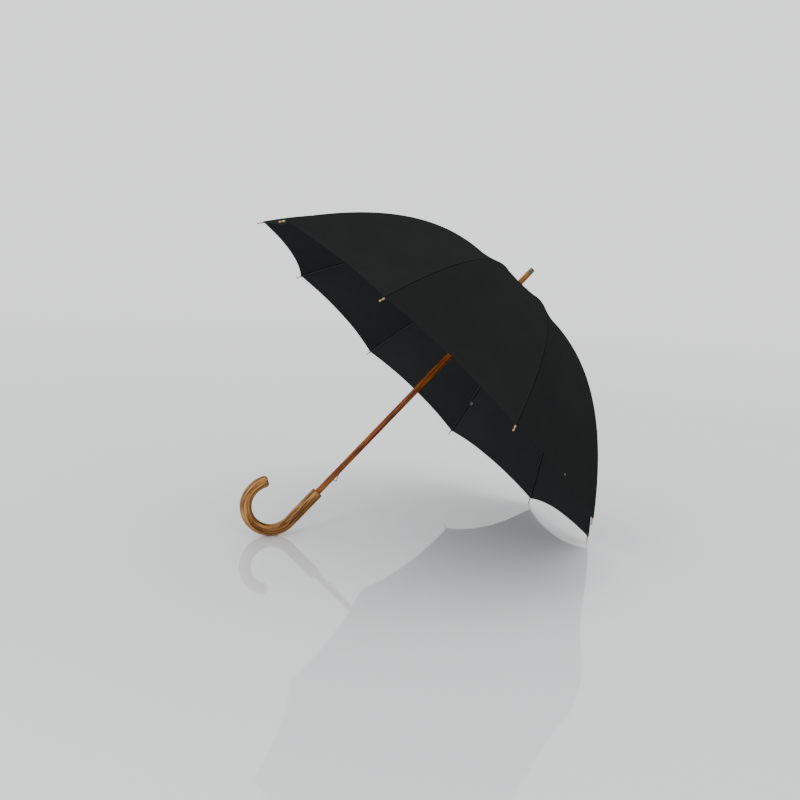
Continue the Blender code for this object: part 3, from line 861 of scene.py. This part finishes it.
def repaint():
    """The CAD pieces that stay get their finishes."""
    finishes = {
        "rib_inner_": RIB_LOOK,
        "rib_outer_": RIB_LOOK,
        "stretcher_": RIB_LOOK,
        "crown": PLASTIC_LOOK,
        "runner": PLASTIC_LOOK,
        "shaft": SHAFT_LOOK,
        "stop_pin": STEEL_LOOK,
        "ferrule_cap": CAP_LOOK,
    }
    for name, node in frame["nodes"].items():
        for start, look in finishes.items():
            if name.startswith(start):
                for place in node.material_slots:
                    place.material = look


# ---------------------------------------------------------------- strap and small things


def strap_spot(up, side, lift):
    """A point at a height up the strap and a distance aside, lifted off the canopy."""
    r = STRAP_ROOT_R - up * cos(rib_slope(STRAP_ROOT_R))
    t = STRAP_ACROSS + 1 + side / panel_half(r)
    return panel_point(r, t) + panel_normal(r, t) * (CLOTH + STRAP_LIFT + lift)


def make_strap():
    """Closing strap with a rounded end and a stud, lying on the canopy."""
    half, root, run_steps, end_steps = STRAP_WIDTH / 2, 0.004, 14, 8
    stitch_in, past_hem = 0.0009, 0.023
    rows = [(0.0012 * i, half) for i in range(3)]
    for i in range(run_steps + 1):
        rows.append((root + (STRAP_LENGTH - half - root) * i / run_steps, half))
    for i in range(1, end_steps + 1):
        a = radians(84) * i / end_steps
        rows.append((STRAP_LENGTH - half + half * sin(a), half * cos(a)))
    shares = (-1, -0.93, -0.8, -0.4, 0, 0.4, 0.8, 0.93, 1)
    grid, places = [], []
    for up, width in rows:
        line = []
        for share in shares:
            puff = 0.0005 * (1 - share**6)
            over = strap_spot(up, share * width, CLOTH + puff)
            under = strap_spot(up, share * width, 0.0001)
            line.append((over, under))
            # Brings the stitches of a seam just inside the strap's edge, and a thin line of the
            # painted seam shade onto the edge itself
            place = (half - abs(share * width) - stitch_in + SEAM_HALF, up + past_hem)
            places += [place, place]
        grid.append(line)
    points, faces = shell(grid)
    matrix = rib_frame(STRAP_RIB)
    thing = make_piece(
        "strap_cloth", points, faces, CLOTH_LOOK, "closing_strap", matrix, 45
    )
    set_places(thing, places)
    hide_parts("closing_strap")
    stud_on_cloth("strap_stud", STRAP_RIB, STRAP_LENGTH - 0.008, 0.0012, "closing_strap")


# Domed disc with a dished middle, as (radius, height)
STUD_PROFILE = [(0.0040, -0.0003), (0.0042, 0.0001), (0.0040, 0.0005)]
STUD_PROFILE += [(0.0026, 0.0008), (0.0022, 0.0006), (0.0002, 0.0005)]


def stud_on_cloth(name, k, up, lift, body):
    """A stud on the strap's middle line, standing square to the cloth."""
    spot = strap_spot(up, 0, lift)
    step = 0.001
    along = (strap_spot(up + step, 0, lift) - spot).normalized()
    side = (strap_spot(up, step, lift) - spot).normalized()
    out = side.cross(along)
    if out.z < 0:
        out = -out
        side = -side
    turn = Matrix((along.cross(out) * -1, along, out)).transposed().to_4x4()
    matrix = rib_frame(k) @ Matrix.Translation(spot) @ turn
    points, faces = turned(STUD_PROFILE, 24)
    make_piece(name, points, faces, STEEL_LOOK, body, matrix, 30)


def make_button():
    """Small flat button sewn to the hem between two ribs."""
    k, t, r, level, size = 6, -0.76, RIM_R - 0.0040, 1.4, 0.7
    spot = cloth_spot(k, r, t, level)
    out = panel_normal(r, t)
    along = (cloth_spot(k, r - 0.001, t, level) - spot).normalized()
    along = (along - out * along.dot(out)).normalized()
    turn = Matrix((along.cross(out), along, out)).transposed().to_4x4()
    points, faces = turned([(size * radius, height) for radius, height in STUD_PROFILE], 24)
    matrix = rib_frame(k) @ Matrix.Translation(spot) @ turn
    body = f"rib_outer_{k}"
    thing = make_piece(
        "hem_button", points, faces, CATCH_LOOK, body, matrix, 30
    )
    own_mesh(thing)


def make_label():
    """Plain ribbon label sewn beside a rib, on the inside, its free edge hanging a little."""
    k, start_r, length, width, thick = 3, 0.4455, 0.011, 0.011, 0.0004
    reach, beside, steps = length * cos(rib_slope(start_r)), 0.0024, 6
    grid = []
    for i in range(steps + 1):
        r = start_r + reach * i / steps
        line = []
        for j in range(steps + 1):
            t = -(beside + width * j / steps) / panel_half(r)
            hang = 0.0011 + 0.0022 * (j / steps) ** 2 + 0.0004 * sin(i * 1.4)
            spot = panel_point(r, t) - panel_normal(r, t) * hang
            line.append((spot, spot - panel_normal(r, t) * thick))
        grid.append(line)
    points, faces = shell(grid)
    body = f"rib_outer_{k}"
    thing = make_piece("plain_label", points, faces, LABEL_LOOK, body, rib_frame(k), flat=40)


def make_sleeves():
    """Crimped sleeve over the place where each rib flexes."""
    reach, bend_half, sides, rings = 0.011, 0.006, 16, 15
    waists = (0, 3, 11, rings - 1)
    for k in range(RIBS):
        line, radii = [], []
        for i in range(rings):
            share = i / (rings - 1)
            r = FLEX_R - reach + 2 * reach * share
            line.append((r, rib_height(r)))
            radii.append(0.00172 if i in waists else 0.00186)
        points, faces, _ = sweep(line, radii, sides)
        thing = make_piece(
            f"flex_sleeve_{k}", points, faces, RIB_LOOK, None, rib_frame(k), 40
        )
        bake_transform(thing)


def flat_bar(path, width, thick):
    """A strip of spring steel bent along (x, height) points."""
    points = []
    for i, (x, z) in enumerate(path):
        before, after = path[max(i - 1, 0)], path[min(i + 1, len(path) - 1)]
        ahead = Vector((after[0] - before[0], 0, after[1] - before[1])).normalized()
        side = Vector((0, 1, 0)).cross(ahead)
        for a, b in ((-1, -1), (-1, 1), (1, 1), (1, -1)):
            points.append(Vector((x, b * width / 2, z)) + side * (a * thick / 2))
    faces = ring_faces(len(path), 4)
    last = 4 * (len(path) - 1)
    faces += [(3, 2, 1, 0), (last, last + 1, last + 2, last + 3)]
    return points, faces


def catch_path(out):
    """Spring strip as (x, height): a foot, a ramp that rises to a nose, and back to the shaft.

    A nose that stands out further ends sooner, so that it still clears the runner.
    """
    surface, base, ramp_steps = SHAFT_R - CATCH_SEAT_R, CATCH_REACH - CATCH_NOSE, 8
    slant = 0.8 * (out - CATCH_OUT)
    path = [(0.0, -0.0012), (0.0003, 0.006), (0.0004, base - 0.006)]
    path += [(surface - 0.0012, base - 0.001), (surface + 0.0002, base + 0.001)]
    for i in range(1, ramp_steps + 1):
        share = i / ramp_steps
        rise = surface + 0.0002 + (out - 0.0006) * share
        path.append((rise, base + 0.001 + (CATCH_NOSE - slant - 0.0026) * share))
    path += [(surface + out - 0.0003, CATCH_REACH - slant - 0.0008)]
    path += [(surface + out - 0.0011, CATCH_REACH - slant - 0.0004)]
    path += [(surface, CATCH_REACH - 0.0005), (0.0002, CATCH_REACH - 0.0010)]
    return path + [(-0.0003, CATCH_REACH - 0.0035)]


def make_catches():
    """Each catch is a strip bent to a ramp and a nose, on a pin through the shaft."""
    upright = UMBRELLA.to_3x3().to_4x4()
    pin_side = [(0.0007, -0.0070), (0.0009, -0.0066), (0.0009, 0.0066), (0.0007, 0.0070)]
    pin, pin_faces = turned([(0.0001, -0.0070), *pin_side, (0.0001, 0.0070)], 16)
    to_pin = Matrix.Translation(UMBRELLA.to_3x3() @ Vector((-CATCH_SEAT_R, 0, 0)))
    catches = (("top_catch", 1, CATCH_OUT, 0.0007), ("bottom_catch", -1, 0.0068, 0.0015))
    for name, way, out, thick in catches:
        place = Matrix.Translation(SPOTS[f"{name}_press"]) @ upright
        points, faces = flat_bar([(x, z * way) for x, z in catch_path(out)], 0.0021, thick)
        thing = make_piece(
            f"{name}_spring", points, faces, CATCH_LOOK, name, place, 25
        )
        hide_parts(name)
        lying = to_pin @ place @ Matrix.Rotation(pi / 2, 4, "X")
        make_piece(f"{name}_pin", pin, pin_faces, STEEL_LOOK, "shaft", lying, 30)


def make_handle_pin():
    """Domed head of the pin that fixes the handle to the shaft."""
    angle, height = radians(-38), HANDLE_TOP_H - 0.032
    out = Vector((cos(angle), sin(angle), 0))
    spot = out * (HANDLE_R - 0.0004) + Vector((0, 0, height))
    turn = out.to_track_quat("Z", "Y").to_matrix().to_4x4()
    place = UMBRELLA @ Matrix.Translation(spot) @ turn
    profile = [(0.0016, -0.0010), (0.0016, 0.0003), (0.0013, 0.0007)]
    profile += [(0.0008, 0.0010), (0.0001, 0.0011)]
    points, faces = turned(profile, 20)
    make_piece("handle_pin", points, faces, STEEL_LOOK, "shaft", place, 35)


# ---------------------------------------------------------------- stage, light, camera


def make_stage():
    """Pale glossy floor that fades out into the pale surround, so that no horizon shows."""
    rings, sides, fade_start, fade_end = (0.4, 1.2, 3.0, 8.0, 16.0), 96, 2.2, 7.5
    points = [
        (r * cos(2 * pi * j / sides), r * sin(2 * pi * j / sides), 0)
        for r in rings
        for j in range(sides)
    ]
    faces = [tuple(reversed(face)) for face in ring_faces(len(rings), sides)]
    faces.append(tuple(range(sides)))
    mesh = bpy.data.meshes.new("studio_floor")
    mesh.from_pydata(points, [], faces)
    floor = bpy.data.objects.new("studio_floor", mesh)
    bpy.context.scene.collection.objects.link(floor)
    look = Look("studio_floor", {"Specular IOR Level": 0.5})
    here = look.add("TexCoord").outputs["Object"]
    haze = look.noise(here, 0.8, 2.0)
    colour = look.ramp(haze, [(0.3, (0.70, 0.71, 0.715)), (0.7, (0.72, 0.73, 0.735))])
    rough = look.map_range(haze, 0.3, 0.7, 0.030, 0.045)
    away = look.add("VectorMath", {0: here}, operation="LENGTH").outputs["Value"]
    shown = look.map_range(away, fade_start, fade_end, 1.0, 0.0)
    look.wire(look.shader, {"Base Color": colour, "Roughness": rough, "Alpha": shown})
    mesh.materials.append(look.material)


def area_light(name, place, target, size, energy):
    lamp = bpy.data.lights.new(name, "AREA")
    lamp.shape = "RECTANGLE"
    lamp.size, lamp.size_y = size
    lamp.energy = energy
    thing = bpy.data.objects.new(name, lamp)
    bpy.context.scene.collection.objects.link(thing)
    thing.location = place
    aim = Vector(target) - Vector(place)
    thing.rotation_euler = aim.to_track_quat("-Z", "Y").to_euler()


def make_lights():
    world = bpy.data.worlds.new("studio")
    bpy.context.scene.world = world
    world.use_nodes = True
    background = world.node_tree.nodes["Background"]
    background.inputs["Color"].default_value = (0.820, 0.828, 0.840, 1)
    background.inputs["Strength"].default_value = 1.70
    middle = (0, 0, 0.35)
    area_light("overhead", (-0.6, -0.4, 3.4), middle, (1.2, 2.4), 18)
    area_light("left_front", (-3.0, -2.6, 2.0), middle, (0.7, 1.6), 48)


def make_camera():
    """Stands to the left, turned back towards the umbrella, and looks slightly down."""
    place = Vector((-0.6225, -1.9633, 0.6562))
    yaw, pitch, roll = radians(16.605), radians(-9.669), radians(2.527)
    ahead = Vector((sin(yaw) * cos(pitch), cos(yaw) * cos(pitch), sin(pitch)))
    right = ahead.cross(Vector((0, 0, 1))).normalized()
    above = right.cross(ahead)
    rolled = right * cos(roll) + above * sin(roll)
    upright = above * cos(roll) - right * sin(roll)
    data = bpy.data.cameras.new("camera")
    data.lens = 41.026
    data.sensor_width = 36
    camera = bpy.data.objects.new("camera", data)
    bpy.context.scene.collection.objects.link(camera)
    camera.matrix_world = Matrix.Translation(place) @ Matrix(
        (rolled, upright, -ahead)
    ).transposed().to_4x4()
    bpy.context.scene.camera = camera


make_canopy()
make_handle()
make_tips()
make_rosette()
make_wires()
make_strap()
make_button()
make_label()
make_sleeves()
make_catches()
make_handle_pin()
repaint()
make_stage()
make_lights()
make_camera()
